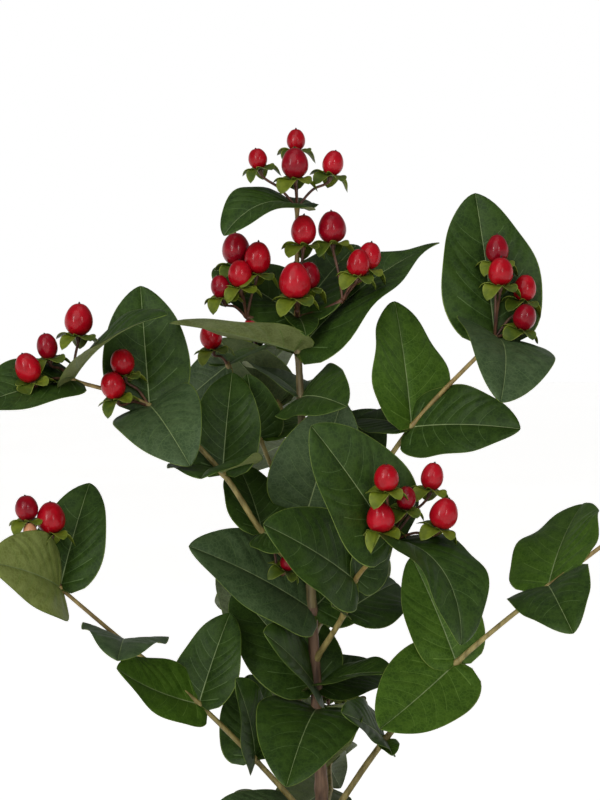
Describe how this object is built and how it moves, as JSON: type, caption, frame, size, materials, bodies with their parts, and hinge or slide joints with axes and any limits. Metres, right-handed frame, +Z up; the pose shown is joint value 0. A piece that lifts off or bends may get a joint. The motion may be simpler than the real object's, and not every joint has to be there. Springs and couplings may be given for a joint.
{
  "type": "potted berry shrub",
  "caption": "Small upright evergreen shrub with paired oval leaves and clusters of red berries, in a plain round tapered clay pot filled with compost.",
  "frame": {"origin": "centre of the pot's flat underside", "axes": "+Z up along the pot and the stem; -Y is the side seen in the picture, +X to the right in it"},
  "size_m": [0.3373, 0.2388, 0.5389],
  "materials": {
    "clay": "unglazed terracotta",
    "compost": "dark crumbly compost",
    "bark": "thin smooth brown bark",
    "foliage": "leathery dark green leaves, satin above and dull below",
    "berry": "glossy red fruit",
    "sepal": "yellow-green, satin"
  },
  "bodies": {
    "root": {"pot": "clay", "compost": "compost", "main_stem": "bark", "bough_back_high": "bark", "bough_back_low": "bark", "bough_back_mid_left": "bark", "bough_back_mid_right": "bark", "bough_front_right": "bark", "bough_inner_left": "bark", "bough_low_back_left": "bark", "bough_low_back_right": "bark", "bough_low_front": "bark", "bough_low_front_left": "bark", "bough_low_left": "bark", "bough_low_right": "bark", "bough_lower_left": "bark", "bough_lower_right": "bark", "bough_upper_left": "bark", "bough_upper_right": "bark", "stem_leaves_broad": "foliage", "stem_leaves_inner": "foliage", "stem_leaves_low": "foliage", "stem_leaves_mid": "foliage", "stem_leaves_top": "foliage", "stem_leaves_upright": "foliage", "stem_leaves_whorl": "foliage", "leaves_back_high": "foliage", "leaves_back_low": "foliage", "leaves_back_mid_left": "foliage", "leaves_back_mid_right": "foliage", "leaves_front_right": "foliage", "leaves_inner_left": "foliage", "leaves_low_back_left": "foliage", "leaves_low_back_right": "foliage", "leaves_low_front": "foliage", "leaves_low_front_left": "foliage", "leaves_low_left": "foliage", "leaves_low_right": "foliage", "leaves_lower_left": "foliage", "leaves_lower_right": "foliage", "leaves_top": "foliage", "leaves_upper_left": "foliage", "leaves_upper_right": "foliage"}
  },
  "joints": []
}
